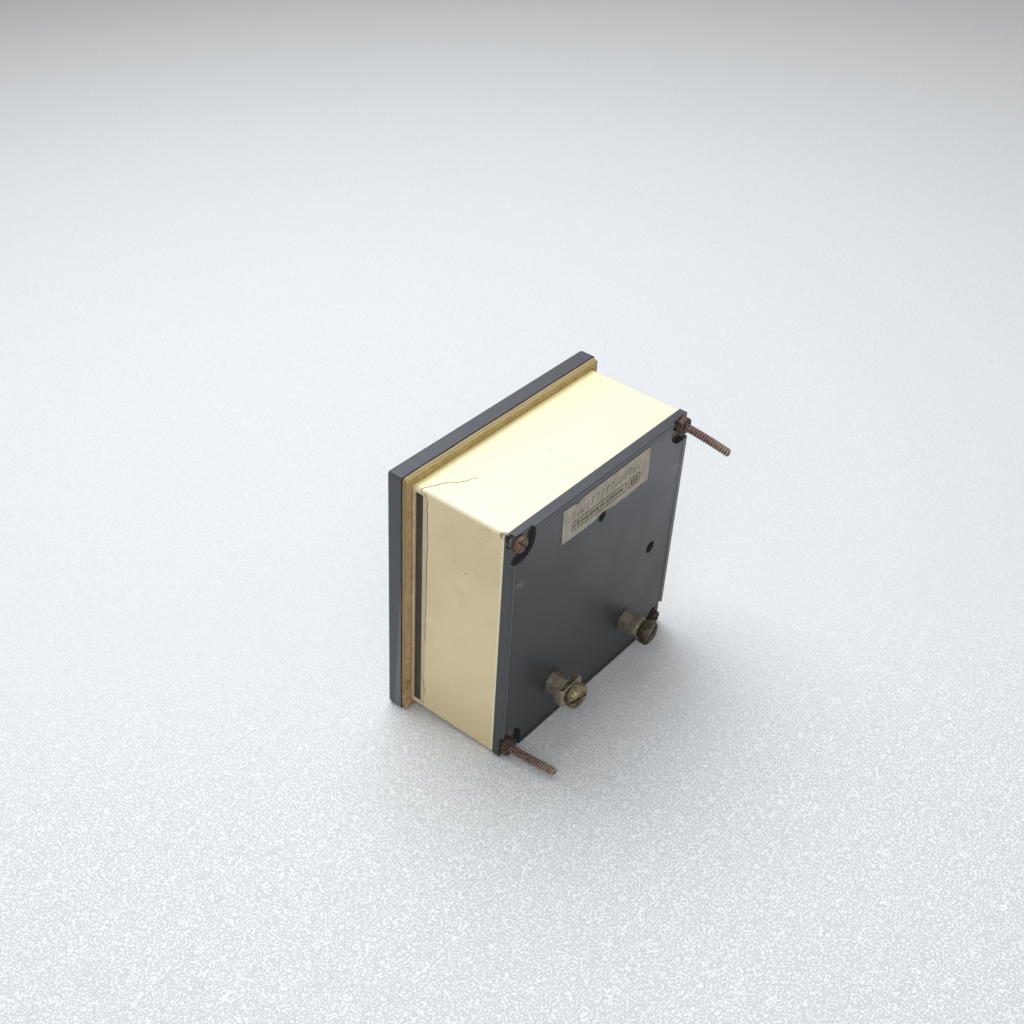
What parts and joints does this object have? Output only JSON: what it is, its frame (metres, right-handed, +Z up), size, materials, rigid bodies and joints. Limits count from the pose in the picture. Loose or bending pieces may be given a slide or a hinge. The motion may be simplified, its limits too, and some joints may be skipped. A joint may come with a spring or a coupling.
{
  "type": "analog panel meter",
  "caption": "Square analog panel meter with a dark front frame, cream case, slide-out scale, mounting studs and screw terminals.",
  "frame": {"origin": "middle of the width and of the overall depth, on the surface that the lower edge of the bezel stands on", "axes": "+X to the right and +Z up as the dial is read, +Y backwards from the dial to the terminals"},
  "size_m": [0.096, 0.0656, 0.096],
  "materials": {
    "frame_plastic": "dark grey moulded phenolic, fine matt texture, worn edges",
    "cover_plastic": "dark grey moulded plastic, matt, scuffed",
    "case_plastic": "cream moulded plastic, aged and yellowed, satin",
    "gasket_foam": "ochre closed-cell sealing sheet, aged",
    "dark_plastic": "dark brown moulded plastic, matt",
    "clear_pane": "clear moulded pane",
    "zinc_rusty": "steel with worn zinc and brown rust",
    "nickel_brass": "tarnished plated brass",
    "steel": "bright steel, oiled",
    "label_paper": "aged beige paper, faded print",
    "scale_sheet": "white lacquered aluminium sheet with a printed scale",
    "bobbin_plastic": "red-brown moulded bobbin",
    "copper_wire": "enamelled copper wire",
    "black_metal": "black lacquered aluminium",
    "thin_aluminium": "plain thin aluminium sheet",
    "magnet": "dark sintered magnet",
    "spring_bronze": "fine bronze strip"
  },
  "bodies": {
    "meter": {"bezel": "frame_plastic", "window": "clear_pane", "panel_gasket": "gasket_foam", "case": "case_plastic", "rear_cover": "cover_plastic", "rear_label": "label_paper", "mounting_studs": "zinc_rusty", "stud_nuts": "zinc_rusty", "cover_screws": "zinc_rusty", "terminal_pillar_left": "nickel_brass", "terminal_pillar_right": "nickel_brass", "coil_strap_left": "nickel_brass", "coil_strap_right": "nickel_brass", "terminal_nuts": "nickel_brass", "dial_mask": "frame_plastic", "damping_magnet": "magnet", "movement_base": "dark_plastic", "front_bridge": "nickel_brass", "rear_bridge": "nickel_brass", "bridge_screws": "steel", "front_bearing": "nickel_brass", "rear_bearing": "nickel_brass", "coil_bobbin": "bobbin_plastic", "coil_winding": "copper_wire", "fixed_iron": "steel"},
    "moving_system": {"pointer_staff": "steel", "pointer": "black_metal", "balance_weights": "nickel_brass", "damping_vane": "thin_aluminium", "moving_iron": "steel"},
    "scale_slide": {"scale_plate": "scale_sheet", "slot_strip": "dark_plastic"},
    "zero_screw": {"zero_adjuster": "dark_plastic"},
    "spring_lever": {"zero_lever": "steel", "hairspring": "spring_bronze"},
    "left_clamp": {"terminal_clamp_left": "nickel_brass", "terminal_lockwasher_left": "zinc_rusty"},
    "left_screw": {"terminal_screw_left": "nickel_brass"},
    "right_clamp": {"terminal_clamp_right": "nickel_brass", "terminal_lockwasher_right": "zinc_rusty"},
    "right_screw": {"terminal_screw_right": "nickel_brass"}
  },
  "joints": [
    {"name": "pointer_turn", "type": "hinge", "parent": "meter", "child": "moving_system", "pos_m": [0, 0, 0.024], "axis": [0, 1, 0], "range_deg": [0, 90], "stiffness_Nm_per_rad": 0.00002},
    {"name": "scale_draw", "type": "slide", "parent": "meter", "child": "scale_slide", "axis": [1, 0, 0], "range_m": [0, 0.08]},
    {"name": "zero_turn", "type": "hinge", "parent": "meter", "child": "zero_screw", "pos_m": [0, -0.0309, 0.0145], "axis": [0, 1, 0], "range_deg": [-40, 40]},
    {"name": "lever_turn", "type": "hinge", "parent": "meter", "child": "spring_lever", "pos_m": [0, 0, 0.024], "axis": [0, 1, 0], "range_deg": [-4.8, 4.8]},
    {"name": "left_clamp_lift", "type": "slide", "parent": "meter", "child": "left_clamp", "axis": [0, 1, 0], "range_m": [0, 0.00139]},
    {"name": "left_screw_turn", "type": "hinge", "parent": "left_clamp", "child": "left_screw", "pos_m": [-0.0202, 0.0231, 0.0199], "axis": [0, 1, 0], "range_deg": [0, 720]},
    {"name": "right_clamp_lift", "type": "slide", "parent": "meter", "child": "right_clamp", "axis": [0, 1, 0], "range_m": [0, 0.00139]},
    {"name": "right_screw_turn", "type": "hinge", "parent": "right_clamp", "child": "right_screw", "pos_m": [0.0202, 0.0231, 0.0199], "axis": [0, 1, 0], "range_deg": [0, 720]}
  ],
  "couplings": [
    {"joint": "lever_turn", "follows": "zero_turn", "ratio": -0.12},
    {"joint": "left_screw_turn", "follows": "left_clamp_lift", "rad_per_m": 8976},
    {"joint": "right_screw_turn", "follows": "right_clamp_lift", "rad_per_m": 8976}
  ]
}
